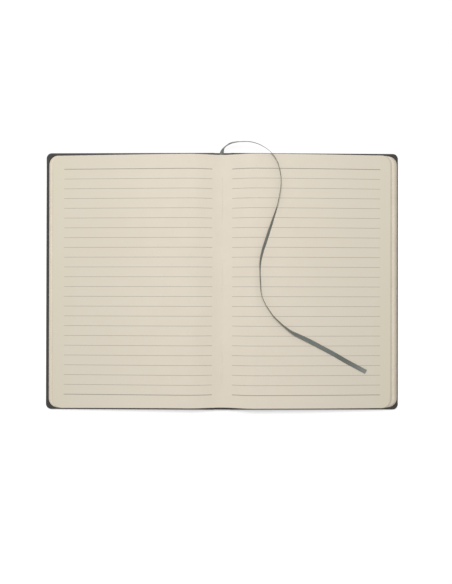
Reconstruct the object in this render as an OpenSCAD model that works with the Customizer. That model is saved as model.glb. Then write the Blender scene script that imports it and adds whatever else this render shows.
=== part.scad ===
// Hard-cover ruled notebook with a ribbon marker, lying open near its middle.
// X runs across the opened book, Y towards its head, Z up from the table.
// The origin is on the table under the middle of the spine, and the front cover is on the left.

/* [Leaves] */
// Width of one leaf, from its fold to its fore edge
page_w = 139; // [110:0.1:170]
// Height of one leaf
page_h = 206.4; // [170:1:260]
// Thickness of one leaf
leaf_t = 0.094; // [0.08:0.002:0.12]
// Radius of the rounded leaf corners
leaf_corner_r = 7.5; // [2:0.5:10]
// Leaves that lie on the front cover
front_leaves = 36; // [32:4:56]
// Leaves that lie on the back cover
back_leaves = 52; // [32:4:56]
// Leaves in each step of the fanned fore edge
step_leaves = 4; // [2:1:8]

/* [Opened shape] */
// Rise of the front leaves over their flat stack
front_hump = 3.6; // [1:0.1:4]
// Rise of the back leaves over their flat stack
back_hump = 3.4; // [1:0.1:4]
// How long the front hump stays full before it falls, 1 is a straight fall
front_bow = 1.1; // [1:0.1:3]
// How long the back hump stays full before it falls
back_bow = 1.9; // [1:0.1:3]
// Distance of the hump's crest from the gutter
crest_x = 27; // [20:1:40]
// Width of the flat band beside the fore edge, where the hump has ended
flat_margin = 14; // [8:1:25]
// Paper left between the gutter fold and the back of the block
fold_depth = 1.5; // [1:0.1:2.5]
// Height of the spine above the table
spine_lift = 3.1; // [2:0.1:5]

/* [Ruling] */
// Blank paper above the first line and below the last
rule_end_margin = 11; // [8:0.5:30]
// How far the ruling sits below the middle of the leaf
rule_drop = 0.6; // [0:0.1:1.5]
// Distance between two lines
rule_pitch = 8; // [5:0.5:8]
// Width of a printed line
rule_w = 0.35; // [0.2:0.05:0.6]
// Width of the first and the last line
end_rule_w = 0.5; // [0.2:0.05:0.8]
// Thickness of the printed ink
ink_t = 0.04; // [0.03:0.01:0.06]
// Where the lines start, from the gutter
rule_start = 8.1; // [5:0.1:12]
// Margin between the lines and the upper leaf's fore edge
rule_margin = 9; // [5:0.5:15]

/* [Case] */
// Thickness of the grey board
board_t = 1.8; // [1.2:0.1:2.4]
// Thickness of the covering material
covering_t = 0.3; // [0.2:0.05:0.4]
// How far the case stands past the leaves at head and tail
head_square = 2.2; // [1:0.1:4]
// How far the case stands past the longest leaf at the fore edge
fore_square = 1.1; // [0.5:0.1:4]
// Radius of the cover corners
cover_corner_r = 4.4; // [2:0.1:6]
// Width of the covering that is turned in
turn_in = 15; // [10:1:20]
// Softness of the covered edges
edge_r = 0.5; // [0.3:0.05:0.8]
// Width of the pressed groove beside the spine
groove_w = 5; // [4.5:0.5:7]
// Depth of the pressed groove
groove_depth = 1.45; // [1.2:0.05:1.6]
// Thickness of the spine strip
strip_t = 1; // [0.6:0.1:1.4]

/* [Endpapers and linings] */
// Thickness of an endpaper
endpaper_t = 0.15; // [0.1:0.01:0.2]
// Covering left in sight round a pastedown
pastedown_inset = 3; // [2:0.5:6]
// Thickness of the spine gauze
gauze_t = 0.18; // [0.1:0.02:0.24]
// Thickness of the paper that lines the spine
lining_t = 0.15; // [0.1:0.01:0.2]
// How far the gauze and lining stop short of head and tail
lining_short = 12; // [10:1:20]
// Hollow between the lining and the spine strip
hollow_gap = 0.75; // [0.6:0.05:1.2]

/* [Sewing] */
// Diameter of the thread
thread_d = 0.4; // [0.3:0.05:0.5]
// Distance from head or tail to the first sewing hole
station_margin = 18; // [14:1:30]
// Stitches along the gutter
stitches = 3; // [2:1:5]

/* [Ribbon] */
// Width of the ribbon
ribbon_w = 3.5; // [3:0.1:4]
// Thickness of the ribbon
ribbon_t = 0.4; // [0.3:0.05:0.5]

/* [Hidden] */
$fn = 48;

// Clearances
rest_gap = 0.03;      // between a pastedown and the endpaper over it
hinge_gap = 0.05;     // round the bead of a hinge
thread_gap = 0.03;    // round the thread in its holes
bond = 0.1;           // how deep one step of leaves reaches into the next
seam_size = 0.15;     // width and depth of a mitre seam
bead_r = 0.4;         // bead on the hinge line, a little thicker than the covering

// Stacks of leaves and the case that is cut to them
front_stack = front_leaves * leaf_t;
back_stack = back_leaves * leaf_t;
case_h = page_h + 2 * head_square;
cover_reach = max(front_stack, back_stack) + page_w + fore_square;
strip_w = front_stack + back_stack + 2 * (board_t + covering_t);
board_x = strip_w / 2 + groove_w;
board_h = case_h - 2 * covering_t;
board_reach = cover_reach - covering_t;
window_x = board_reach - turn_in;
window_h = board_h - 2 * turn_in;

// Levels in a cover, measured from its outer face
board_top = covering_t + board_t;
turn_in_top = board_top + covering_t;
inside_top = turn_in_top + endpaper_t;
leaf_base = inside_top + rest_gap + endpaper_t;

// Tilt of a cover, from its fore edge on the table up to the spine
tilt = asin(spine_lift / (cover_reach - strip_w / 2));
function laid_x(x, t) = cover_reach - (cover_reach - x) * cos(tilt) + t * sin(tilt);
function laid_z(x, t) = (cover_reach - x) * sin(tilt) + t * cos(tilt);

// Height over the table, at x, of a plane that lies t above a cover's outer face
function plane_z(x, t) = (cover_reach - x) * tan(tilt) + t / cos(tilt);

// Hinge line in the groove, in a cover and as laid down
hinge_x = strip_w / 2 + groove_w / 2;
hinge_t = groove_depth + covering_t / 2;
axis_x = laid_x(hinge_x, hinge_t);
axis_z = laid_z(hinge_x, hinge_t);
bead_room = bead_r + hinge_gap;

// Levels at the spine
strip_bottom = spine_lift + covering_t;
strip_top = strip_bottom + strip_t;
case_top = strip_top + covering_t;
lining_z = case_top + hollow_gap;
gauze_z = lining_z + lining_t;
back_z = gauze_z + gauze_t + thread_d + 2 * thread_gap;
gutter_z = back_z + fold_depth;
lap_z = axis_z + covering_t / 2;
joint_z = lap_z + covering_t + rest_gap;
joint_x = axis_x - bead_room;
flange_x = board_x + 4;

// Height above everything, for outlines that are cut straight through
over_all = 2 * (back_z + front_stack + back_stack);

// Ruling and sewing holes, spread over the height of a leaf
rule_count = floor((page_h - 2 * rule_end_margin) / rule_pitch) + 1;
holes = 2 * stitches;
hole_pitch = (page_h - 2 * station_margin) / (holes - 1);
function hole_y(k) = k * hole_pitch + station_margin - page_h / 2;

// One side of the book: its stack, hump, bow and number of steps
front_side = [front_stack, front_hump, front_bow, front_leaves / step_leaves];
back_side = [back_stack, back_hump, back_bow, back_leaves / step_leaves];

// Height of the upper leaf at a distance u from the gutter
hump_end = page_w - flat_margin;
function clamp01(v) = min(1, max(0, v));
function stack_z(side, u) = plane_z(u, leaf_base + side[0]);
function hump_z(side, u) =
    stack_z(side, u) + side[1] * (1 - pow(clamp01((u - crest_x) / (hump_end - crest_x)), side[2]));
function rise(u) = pow(sin(90 * clamp01(u / crest_x)), 1.6);
function leaf_z(side, u) =
    u >= crest_x ? hump_z(side, u) : gutter_z + (hump_z(side, crest_x) - gutter_z) * rise(u);

// The upper leaf as a line of points, close together on the bend beside the gutter
near_step = crest_x / 8;
far_steps = 10;
function leaf_line(side) = concat(
    [for (k = [0:7]) [k * near_step, leaf_z(side, k * near_step)]],
    [for (k = [0:far_steps]) let(u = crest_x + (page_w - crest_x) * k / far_steps)
        [u, leaf_z(side, u)]]);

// How far from the gutter a leaf ends: each is page_w long, measured along its own curve
function line_length(line, k = 0) =
    k >= len(line) - 1 ? 0 : norm(line[k + 1] - line[k]) + line_length(line, k + 1);
function upper_reach(side) = 2 * page_w - line_length(leaf_line(side));
function lower_reach(side) = side[0] + page_w;
function step_reach(side, k) =
    lower_reach(side) + (upper_reach(side) - lower_reach(side)) * k / (side[3] - 1);

// Points of the upper leaf between two distances from the gutter
function leaf_part(side, from, to) = concat(
    [[from, lookup(from, leaf_line(side))]],
    [for (p = leaf_line(side)) if (p[0] > from + 0.01 && p[0] < to - 0.01) p],
    [[to, lookup(to, leaf_line(side))]]);
function reversed(list) = [for (k = [len(list) - 1:-1:0]) list[k]];
function mirrored(list) = [for (p = list) [-p[0], p[1]]];

// Shapes that several pieces share
module along_y(length) {
    translate([0, length / 2, 0]) rotate([90, 0, 0]) linear_extrude(length) children();
}

// Lays the right-hand cover, or with front = true the left-hand one, on the table
module laid(front) {
    mirror([front ? 1 : 0, 0, 0])
        translate([cover_reach, 0, 0]) rotate([0, tilt, 0]) translate([-cover_reach, 0, 0])
            children();
}

// Sheet from x = start to x = reach, with its two outer corners rounded
module sheet_outline(start, reach, height, r) {
    translate([start, -height / 2]) square([reach - r - start, height]);
    translate([start, r - height / 2]) square([reach - start, height - 2 * r]);
    for (s = [-1, 1]) translate([reach - r, s * (height / 2 - r)]) circle(r);
}

module sheet(start, reach, height, r, from, to) {
    translate([0, 0, from]) linear_extrude(to - from) sheet_outline(start, reach, height, r);
}

// Rectangle with four soft corners, for the section of a covered edge
module soft_rectangle(x0, x1, y0, y1, r) {
    translate([x0 + r, y0]) square([x1 - x0 - 2 * r, y1 - y0]);
    translate([x0, y0 + r]) square([x1 - x0, y1 - y0 - 2 * r]);
    for (x = [x0 + r, x1 - r], y = [y0 + r, y1 - r]) translate([x, y]) circle(r, $fn = 24);
}

// Leaves: one solid, fanned in steps at both fore edges, humped and folded down into the gutter
module leaf_steps(side) {
    step_t = side[0] / side[3];
    for (k = [0:side[3] - 2])
        sheet(flange_x, step_reach(side, k), page_h, leaf_corner_r,
              leaf_base + k * step_t, leaf_base + (k + 1) * step_t + (k < side[3] - 2 ? bond : 0));
}

// Underside of one half of the block, from the fore edge to the edge of its back
function underside(side, reach) = [
    [reach, plane_z(reach, leaf_base + bond)],
    [flange_x, plane_z(flange_x, leaf_base + bond)],
    [side[0], back_z]];

module block_section(front_reach, back_reach) {
    polygon(concat(
        reversed(mirrored(leaf_part(front_side, 0, front_reach))),
        leaf_part(back_side, 0, back_reach),
        underside(back_side, back_reach),
        mirrored(reversed(underside(front_side, front_reach)))));
}

module text_block() {
    front_reach = upper_reach(front_side);
    back_reach = upper_reach(back_side);
    color([0.86, 0.83, 0.76]) difference() {
        union() {
            intersection() {
                along_y(page_h) block_section(front_reach, back_reach);
                linear_extrude(over_all) union() {
                    sheet_outline(-1, back_reach, page_h, leaf_corner_r);
                    mirror([1, 0]) sheet_outline(-1, front_reach, page_h, leaf_corner_r);
                }
            }
            laid(true) leaf_steps(front_side);
            laid(false) leaf_steps(back_side);
        }
        for (k = [0:holes - 1]) translate([0, hole_y(k), back_z - fold_depth])
            cylinder(h = 3 * fold_depth, d = thread_d + 2 * thread_gap, $fn = 24);
    }
}

// Printed lines, each a thin strip of ink that follows the bend of its page
module rule(side, width) {
    line = leaf_part(side, rule_start, upper_reach(side) - rule_margin);
    along_y(width) polygon(concat(line, [for (p = reversed(line)) p + [0, ink_t]]));
}

module ruled_lines() {
    color([0.78, 0.75, 0.67])
        for (k = [0:rule_count - 1]) {
            width = k == 0 || k == rule_count - 1 ? end_rule_w : rule_w;
            translate([0, ((rule_count - 1) / 2 - k) * rule_pitch - rule_drop, 0]) {
                rule(back_side, width);
                mirror([1, 0, 0]) rule(front_side, width);
            }
        }
}

// Sewing: one thread in and out of the folded section, along the gutter and along the back
module thread_run(y0, y1, z) {
    translate([0, y0, z]) rotate([-90, 0, 0]) cylinder(h = y1 - y0, d = thread_d, $fn = 16);
}

module sewing_thread() {
    upper = gutter_z + thread_d / 2 + thread_gap;
    lower = back_z - thread_d / 2 - thread_gap;
    color([0.92, 0.91, 0.86]) {
        for (k = [0:holes - 1]) translate([0, hole_y(k), lower]) {
            cylinder(h = upper - lower, d = thread_d, $fn = 16);
            sphere(d = thread_d, $fn = 16);
            translate([0, 0, upper - lower]) sphere(d = thread_d, $fn = 16);
        }
        for (k = [0:2:holes - 2]) thread_run(hole_y(k), hole_y(k + 1), upper);
        for (k = [1:2:holes - 3]) thread_run(hole_y(k), hole_y(k + 1), lower);
    }
}

// Endpaper on the block: the free leaf, its fold at the back's edge and the strip down to the hinge
module free_endpaper(side) {
    reach = lower_reach(side);
    fold_x = side[0];
    fold_z = gauze_z + gauze_t;
    under = leaf_base - endpaper_t;
    intersection() {
        along_y(page_h) polygon([
            [fold_x, fold_z], [joint_x, joint_z + gauze_t],
            [joint_x, joint_z + gauze_t + endpaper_t],
            [fold_x + 2 * endpaper_t, fold_z + endpaper_t],
            [fold_x + 2 * endpaper_t, back_z - endpaper_t],
            [flange_x, plane_z(flange_x, under)], [reach, plane_z(reach, under)],
            [reach, plane_z(reach, leaf_base)], [flange_x, plane_z(flange_x, leaf_base)],
            [fold_x, back_z]]);
        linear_extrude(over_all) sheet_outline(0, reach, page_h, leaf_corner_r);
    }
}

module front_free_endpaper() {
    color([0.84, 0.81, 0.74]) mirror([1, 0, 0]) free_endpaper(front_side);
}

module back_free_endpaper() {
    color([0.84, 0.81, 0.74]) free_endpaper(back_side);
}

// Gauze glued over the sewn back, with a flange down to each hinge
function flange(side) = [[side[0], gauze_z], [joint_x, joint_z]];
function lifted(list, dz) = [for (p = list) p + [0, dz]];

module spine_gauze() {
    under = concat(mirrored(reversed(flange(front_side))), flange(back_side));
    color([0.93, 0.92, 0.88])
        along_y(page_h - 2 * lining_short)
            polygon(concat(under, reversed(lifted(under, gauze_t))));
}

// Kraft paper that stiffens the glued back
module spine_lining_paper() {
    color([0.70, 0.56, 0.40])
        along_y(page_h - 2 * lining_short)
            translate([-front_stack, lining_z]) square([front_stack + back_stack, lining_t]);
}

// Card strip inside the spine of the case
module spine_strip() {
    color([0.58, 0.57, 0.54])
        along_y(board_h) translate([-strip_w / 2, strip_bottom]) square([strip_w, strip_t]);
}

// Covering over the spine, down into both grooves and turned in at head and tail
groove_low = axis_z - covering_t / 2;
spine_outside = [
    [strip_w / 2, spine_lift],
    [strip_w / 2 + covering_t, spine_lift + covering_t],
    [strip_w / 2 + 3 * covering_t, groove_low],
    [axis_x, groove_low]];
spine_inside = [
    [strip_w / 2, strip_bottom],
    [strip_w / 2, groove_low],
    [strip_w / 2 + covering_t, lap_z],
    [axis_x, lap_z]];
spine_turned = [
    [strip_w / 2 - covering_t, case_top],
    [strip_w / 2, lap_z + covering_t],
    [axis_x, lap_z + covering_t]];

module spine_section(lower, upper) {
    polygon(concat(mirrored(reversed(lower)), lower, reversed(upper), mirrored(upper)));
}

module spine_covering() {
    color([0.22, 0.21, 0.20]) {
        along_y(case_h) spine_section(spine_outside, spine_inside);
        for (s = [-1, 1]) {
            translate([0, s * (case_h - covering_t - turn_in) / 2, 0]) along_y(turn_in + covering_t)
                difference() {
                    spine_section(spine_outside, spine_turned);
                    translate([-strip_w / 2, strip_bottom]) square([strip_w, strip_t]);
                }
            translate([0, s * (case_h - covering_t) / 2, 0]) along_y(covering_t)
                spine_section(spine_outside, spine_turned);
            translate([s * axis_x, -case_h / 2, axis_z]) rotate([-90, 0, 0])
                cylinder(h = case_h, r = bead_r, $fn = 32);
        }
    }
}

// Covers, drawn with the outer face at zero and the spine at x = 0
module board() {
    sheet(board_x, board_reach, board_h, cover_corner_r - covering_t, covering_t, board_top);
}

module hinge_room() {
    translate([hinge_x, -case_h / 2 - 1, hinge_t]) rotate([-90, 0, 0])
        cylinder(h = case_h + 2, r = bead_room, $fn = 32);
}

// The covering where it dips from the board into the groove, and the turn-in over it
groove_outside = [
    [hinge_x, groove_depth],
    [board_x - 3 * covering_t, groove_depth],
    [board_x - covering_t, 0],
    [board_x + 2 * edge_r, 0]];
groove_inside = [
    [hinge_x, groove_depth + covering_t],
    [board_x - 2.3 * covering_t, groove_depth + covering_t],
    [board_x - 0.2 * covering_t, covering_t],
    [board_x + 2 * edge_r, covering_t]];
groove_turned = [
    [hinge_x, groove_depth + 2 * covering_t],
    [board_x - 2.8 * covering_t, groove_depth + 2 * covering_t],
    [board_x - 0.8 * covering_t, turn_in_top],
    [board_x + 2 * edge_r, turn_in_top]];

module groove_sheet(lower, upper, length) {
    along_y(length) polygon(concat(lower, reversed(upper)));
}

module covered_board() {
    intersection() {
        sheet(board_x, cover_reach, case_h, cover_corner_r, 0, turn_in_top);
        along_y(case_h + 2) soft_rectangle(board_x - groove_w, cover_reach, 0, turn_in_top, edge_r);
        rotate([90, 0, 90]) linear_extrude(cover_reach + 1)
            soft_rectangle(-case_h / 2, case_h / 2, 0, turn_in_top, edge_r);
    }
}

// Seams where the turned-in edges meet at the two outer corners
module mitre_seams() {
    for (s = [-1, 1]) translate([window_x - 1, s * (window_h / 2 - 1), turn_in_top - seam_size])
        rotate([0, 0, s * 45]) translate([0, -seam_size / 2, 0])
            cube([turn_in * 1.5, seam_size, 2 * seam_size]);
}

module covering() {
    color([0.22, 0.21, 0.20]) difference() {
        union() {
            covered_board();
            groove_sheet(groove_outside, groove_inside, case_h);
            for (s = [-1, 1]) translate([0, s * (case_h - covering_t - turn_in) / 2, 0])
                groove_sheet(groove_outside, groove_turned, turn_in + covering_t);
        }
        board();
        translate([board_x, -window_h / 2, board_top - bond])
            cube([window_x - board_x, window_h, 1]);
        hinge_room();
        mitre_seams();
    }
}

// Pastedown: laps onto the turn-ins, steps down onto the board and runs into the groove
pasted_groove_low = [
    [hinge_x, groove_depth + covering_t],
    [board_x - 2.3 * covering_t, groove_depth + covering_t],
    [board_x - 0.4 * covering_t, board_top],
    [board_x + bond, board_top]];

module pastedown() {
    reach = cover_reach - pastedown_inset;
    height = case_h - 2 * pastedown_inset;
    well_x = window_x - endpaper_t;
    well_h = window_h - 2 * endpaper_t;
    color([0.84, 0.81, 0.74]) difference() {
        union() {
            sheet(board_x, reach, height, leaf_corner_r, turn_in_top, inside_top);
            translate([board_x, -window_h / 2, board_top])
                cube([window_x - board_x, window_h, inside_top - board_top]);
            groove_sheet(pasted_groove_low, lifted(pasted_groove_low, endpaper_t), well_h);
        }
        translate([board_x - 1, -well_h / 2, board_top + endpaper_t])
            cube([well_x - board_x + 1, well_h, 1]);
        hinge_room();
    }
}

module front_board() {
    color([0.58, 0.57, 0.54]) laid(true) board();
}

module front_covering() {
    laid(true) covering();
}

module front_pastedown() {
    laid(true) pastedown();
}

module back_board() {
    color([0.58, 0.57, 0.54]) laid(false) board();
}

module back_covering() {
    laid(false) covering();
}

module back_pastedown() {
    laid(false) pastedown();
}

// Ribbon: glued flat under the back of the block, out over the head, standing on its edge across
// the page and flat again at its cut end. Each point is x, y, z and the roll of its width.
ribbon_route = [
    [-0.5, 94, 5.95, 0], [-0.5, 99, 5.95, 0], [-0.5, 103.5, 5.95, 0],
    [0, 106.7, 6.4, 42], [2.0, 109.7, 7.2, 67], [6.0, 112.3, 8.4, 61],
    [10.7, 113.3, 9.8, 64], [16.2, 113.4, 11.4, 70], [22.2, 113, 12.9, 70],
    [27.3, 111.6, 13.9, 71], [32, 109.4, 14.7, 73], [36.9, 106.1, 15.3, 77],
    [40.7, 102.5, 15.4, 80], [43.4, 98.6, 15.3, 81], [45.4, 94, 15.2, 81],
    [47, 86.5, 15.1, 82], [47.4, 78.8, 15.1, 85], [46.2, 70, 15.1, 87],
    [44.4, 60.9, 15.15, 80], [40.9, 49.5, 15.1, 62], [38, 40.8, 15.05, 54],
    [35.2, 32.1, 15.1, 51], [32.7, 24.3, 15.25, 55], [31, 16.3, 15.45, 65],
    [30.6, 7.9, 15.5, 76], [31, -1.1, 15.5, 76], [31.7, -10.5, 15.5, 83],
    [34.3, -17.3, 15.5, 85], [37.6, -22.8, 15.4, 83], [41.6, -28.4, 15.3, 80],
    [46.6, -33.3, 15.1, 77], [51.6, -37.7, 14.8, 69], [56.9, -41.5, 14.38, 55],
    [63.5, -44.9, 13.62, 33], [72.3, -49.3, 12.7, 12], [81.8, -54.4, 11.8, 5],
    [90.9, -59.2, 11.15, 3], [99.4, -64.2, 10.55, 0], [108.5, -69.1, 9.9, 0],
    [117.2, -73.7, 9.3, 0]];

// One smooth step beyond each point, by a Catmull-Rom curve
function route_at(k) = ribbon_route[min(len(ribbon_route) - 1, max(0, k))];
function midway(k) = (9 * (route_at(k) + route_at(k + 1)) - route_at(k - 1) - route_at(k + 2)) / 16;
ribbon_rings = [for (k = [0:2 * len(ribbon_route) - 2])
    k % 2 == 0 ? route_at(k / 2) : midway((k - 1) / 2)];
function place(p) = [p[0], p[1], p[2]];
function unit(v) = v / norm(v);
function heading(k) = unit(place(ribbon_rings[min(len(ribbon_rings) - 1, k + 1)])
                           - place(ribbon_rings[max(0, k - 1)]));

// Flat section with softened edges, as widths and heights from its middle
ribbon_section = [for (s = [-1, 1]) each [
    [s * (ribbon_w / 2 - ribbon_t / 2), s * ribbon_t / 2], [s * ribbon_w / 2, s * ribbon_t / 4],
    [s * ribbon_w / 2, -s * ribbon_t / 4], [s * (ribbon_w / 2 - ribbon_t / 2), -s * ribbon_t / 2]]];

function ribbon_ring(k) =
    let(p = ribbon_rings[k], t = heading(k), side = unit(cross(t, [0, 0, 1])), up = cross(side, t),
        across = side * cos(p[3]) + up * sin(p[3]), over = cross(across, t))
    [for (q = ribbon_section) place(p) + across * q[0] + over * q[1]];

module ribbon_marker() {
    sides = len(ribbon_section);
    last = len(ribbon_rings) - 1;
    color([0.40, 0.42, 0.41]) polyhedron(
        points = [for (k = [0:last]) each ribbon_ring(k)],
        faces = concat(
            [[for (j = [sides - 1:-1:0]) j]],
            [for (k = [0:last - 1], j = [0:sides - 1], half = [0, 1])
                let(a = k * sides + j, b = k * sides + (j + 1) % sides)
                    half == 0 ? [a, b, b + sides] : [a, b + sides, a + sides]],
            [[for (j = [0:sides - 1]) last * sides + j]]));
}

text_block();
ruled_lines();
sewing_thread();
front_free_endpaper();
back_free_endpaper();
spine_gauze();
spine_lining_paper();
spine_strip();
spine_covering();
ribbon_marker();
front_board();
front_covering();
front_pastedown();
back_board();
back_covering();
back_pastedown();
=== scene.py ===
import math
import random

import bmesh
import bpy
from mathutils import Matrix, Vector


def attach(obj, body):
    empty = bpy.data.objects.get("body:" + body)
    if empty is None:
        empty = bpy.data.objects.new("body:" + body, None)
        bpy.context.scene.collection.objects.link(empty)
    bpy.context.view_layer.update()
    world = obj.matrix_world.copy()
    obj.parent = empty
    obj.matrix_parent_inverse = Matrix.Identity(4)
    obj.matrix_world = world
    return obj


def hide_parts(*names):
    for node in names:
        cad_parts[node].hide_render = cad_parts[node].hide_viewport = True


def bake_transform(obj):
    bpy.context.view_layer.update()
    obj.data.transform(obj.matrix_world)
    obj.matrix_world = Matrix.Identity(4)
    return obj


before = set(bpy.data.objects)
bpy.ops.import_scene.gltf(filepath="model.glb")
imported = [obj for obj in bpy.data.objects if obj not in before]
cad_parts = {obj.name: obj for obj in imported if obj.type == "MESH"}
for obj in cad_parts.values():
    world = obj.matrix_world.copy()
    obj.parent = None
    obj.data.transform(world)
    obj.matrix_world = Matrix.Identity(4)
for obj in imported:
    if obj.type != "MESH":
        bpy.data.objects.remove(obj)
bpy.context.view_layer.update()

mm = 0.001
random.seed(7)

# Sizes of the notebook, in millimetres, as it was drawn in the frame
book = {
    "pageWidth": 139.0,
    "pageHeight": 206.4,
    "leaf": 0.094,         # thickness of one leaf
    "frontLeaves": 36,
    "backLeaves": 52,
    "leafCorner": 7.5,
    "frontHump": 3.6,      # rise of the open page over its flat stack, at the crest
    "backHump": 3.4,
    "frontBow": 1.1,       # how it falls from there: 1 is straight, more keeps it up longer
    "backBow": 1.9,
    "crest": 27.0,         # from the gutter to the crest
    "flatMargin": 14.0,    # the page lies flat this far in from the fore edge
    "foldDepth": 1.5,      # the gutter over the lowest fold
    "lift": 3.1,           # of the spine off the table
    "board": 1.8,
    "skin": 0.3,           # thickness of the covering
    "headSquare": 2.2,     # how far the covers stand out past the leaves
    "foreSquare": 1.1,
    "coverCorner": 4.4,
    "turnIn": 15.0,
    "groove": 5.0,
    "grooveDepth": 1.45,
    "strip": 1.0,          # card in the spine
    "endpaper": 0.15,
    "pasteInset": 3.0,     # from a cover's edge to its pasted endpaper
    "gauze": 0.18,
    "lining": 0.15,
    "hollow": 0.75,        # between the spine of the case and the back of the leaves
    "thread": 0.4,
    "restGap": 0.03,
    "threadGap": 0.03,
}

frontStack = book["frontLeaves"] * book["leaf"]
backStack = book["backLeaves"] * book["leaf"]
caseHeight = book["pageHeight"] + 2 * book["headSquare"]
coverReach = max(frontStack, backStack) + book["pageWidth"] + book["foreSquare"]
spineHalf = (frontStack + backStack) / 2 + book["board"] + book["skin"]
boardStart = spineHalf + book["groove"]
tilt = math.asin(book["lift"] / (coverReach - spineHalf))    # of the covers, up to the spine
boardTop = book["skin"] + book["board"]
turnTop = boardTop + book["skin"]
leafBase = turnTop + 2 * book["endpaper"] + book["restGap"]
caseTop = book["lift"] + 2 * book["skin"] + book["strip"]
gauzeLevel = caseTop + book["hollow"] + book["lining"]
backLevel = gauzeLevel + book["gauze"] + book["thread"] + 2 * book["threadGap"]
gutterLevel = backLevel + book["foldDepth"]
hingeReach = coverReach - spineHalf - book["groove"] / 2      # from the fore edge to the hinge
hingeX = coverReach - hingeReach * math.cos(tilt)
hingeZ = hingeReach * math.sin(tilt) + book["grooveDepth"] + book["skin"] / 2


def mix(a, b, t):
    return a + (b - a) * t


def clamp(v, low=0.0, high=1.0):
    return max(low, min(high, v))


def smooth(t):
    t = clamp(t)
    return t * t * (3 - 2 * t)


# Shader writing: a Wire is one socket, and arithmetic on it adds Math nodes
class Wire:
    def __init__(self, network, socket):
        self.network = network
        self.socket = socket

    def maths(self, operation, *others, flip=False):
        values = [self, *others]
        if flip:
            values.reverse()
        return self.network.node("ShaderNodeMath", {"operation": operation}, dict(enumerate(values)))

    def __add__(self, other):
        return self.maths("ADD", other)

    def __radd__(self, other):
        return self.maths("ADD", other)

    def __sub__(self, other):
        return self.maths("SUBTRACT", other)

    def __rsub__(self, other):
        return self.maths("SUBTRACT", other, flip=True)

    def __mul__(self, other):
        return self.maths("MULTIPLY", other)

    def __rmul__(self, other):
        return self.maths("MULTIPLY", other)

    def __abs__(self):
        return self.maths("ABSOLUTE")

    def wave(self):
        return self.maths("SINE")

    def above(self, low, high):
        # 0 below low, 1 above high, soft between
        return self.network.node("ShaderNodeMapRange", {"interpolation_type": "SMOOTHSTEP"},
                                 {0: self, 1: low, 2: high})


class Network:
    # A tree of shader nodes, which come from node()
    def __init__(self, tree):
        self.tree = tree

    def node(self, kind, settings=None, sockets=None, out=0):
        made = self.tree.nodes.new(kind)
        for key, value in (settings or {}).items():
            setattr(made, key, value)
        for key, value in (sockets or {}).items():
            if isinstance(value, Wire):
                self.tree.links.new(value.socket, made.inputs[key])
            else:
                made.inputs[key].default_value = value
        return Wire(self, made.outputs[out])

    def shown(self):
        # 1 for what the camera sees, also in a gloss or through glass
        path = self.node("ShaderNodeLightPath").socket.node
        straight, gloss, glass = (Wire(self, path.outputs[f"Is {ray} Ray"])
                                  for ray in ("Camera", "Glossy", "Transmission"))
        return straight.maths("MAXIMUM", gloss).maths("MAXIMUM", glass)


class Finish(Network):
    # One material, whose shader is Principled
    def __init__(self, name, colour, rough=0.6, **extras):
        self.material = bpy.data.materials.new(name)
        self.material.use_nodes = True
        super().__init__(self.material.node_tree)
        self.shader = self.tree.nodes["Principled BSDF"]
        self.colour = (*colour, 1.0)
        self.shader.inputs["Base Color"].default_value = self.colour
        self.shader.inputs["Roughness"].default_value = rough
        for key, value in extras.items():
            self.shader.inputs[key.replace("_", " ")].default_value = value

    def place(self, source="Object"):
        return self.node("ShaderNodeTexCoord", out=source)

    def stretched(self, scale, source="Object"):
        return self.node("ShaderNodeVectorMath", {"operation": "MULTIPLY"},
                         {0: self.place(source), 1: scale})

    def axes(self, source="Object"):
        split = self.node("ShaderNodeSeparateXYZ", sockets={0: self.place(source)}).socket.node
        return [Wire(self, split.outputs[k]) for k in range(3)]

    def noise(self, size, detail=3.0, vector=None):
        # size is the width of one blotch: metres, or the units of the vector
        return self.node("ShaderNodeTexNoise", {},
                         {"Vector": vector or self.place(), "Scale": 1.0 / size, "Detail": detail})

    def blend(self, factor, first, second):
        return self.node("ShaderNodeMix", {"data_type": "RGBA"},
                         {0: factor, 6: first, 7: second}, out=2)

    def shade(self, factor, low, high):
        # The material's colour, darkened to low or lightened to high as factor goes 0 to 1
        dark = tuple(c * low for c in self.colour[:3]) + (1.0,)
        light = tuple(min(1.0, c * high) for c in self.colour[:3]) + (1.0,)
        return self.blend(factor, dark, light)

    def bump(self, height, depth, strength):
        return self.node("ShaderNodeBump", {},
                         {"Height": height, "Distance": depth, "Strength": strength})

    def feed(self, **inputs):
        for key, value in inputs.items():
            self.tree.links.new(value.socket, self.shader.inputs[key.replace("_", " ")])


# Turns a patch into a piece in the place of one of the frame's nodes, attached to the body if one is
# given. Edges bent by more than sharp degrees stay crisp.
def makePiece(name, patch, finishes, body, node, sharp, weld=True):
    mesh = bpy.data.meshes.new(name)
    mesh.from_pydata([Vector(v) * mm for v in patch.vertices], [], patch.faces)
    for index, value in enumerate(patch.finish):
        mesh.polygons[index].material_index = value
    shape = bmesh.new()
    shape.from_mesh(mesh)
    if weld:
        bmesh.ops.remove_doubles(shape, verts=shape.verts, dist=1e-6)
        bmesh.ops.dissolve_degenerate(shape, edges=shape.edges, dist=1e-7)
    bmesh.ops.recalc_face_normals(shape, faces=shape.faces)
    shape.to_mesh(mesh)
    shape.free()
    mesh.shade_smooth()
    mesh.set_sharp_from_angle(angle=math.radians(sharp))
    piece = bpy.data.objects.new(name, mesh)
    bpy.context.scene.collection.objects.link(piece)
    for finish in finishes:
        mesh.materials.append(finish.material)
    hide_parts(node)
    if body:
        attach(piece, body)
    return piece


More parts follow.
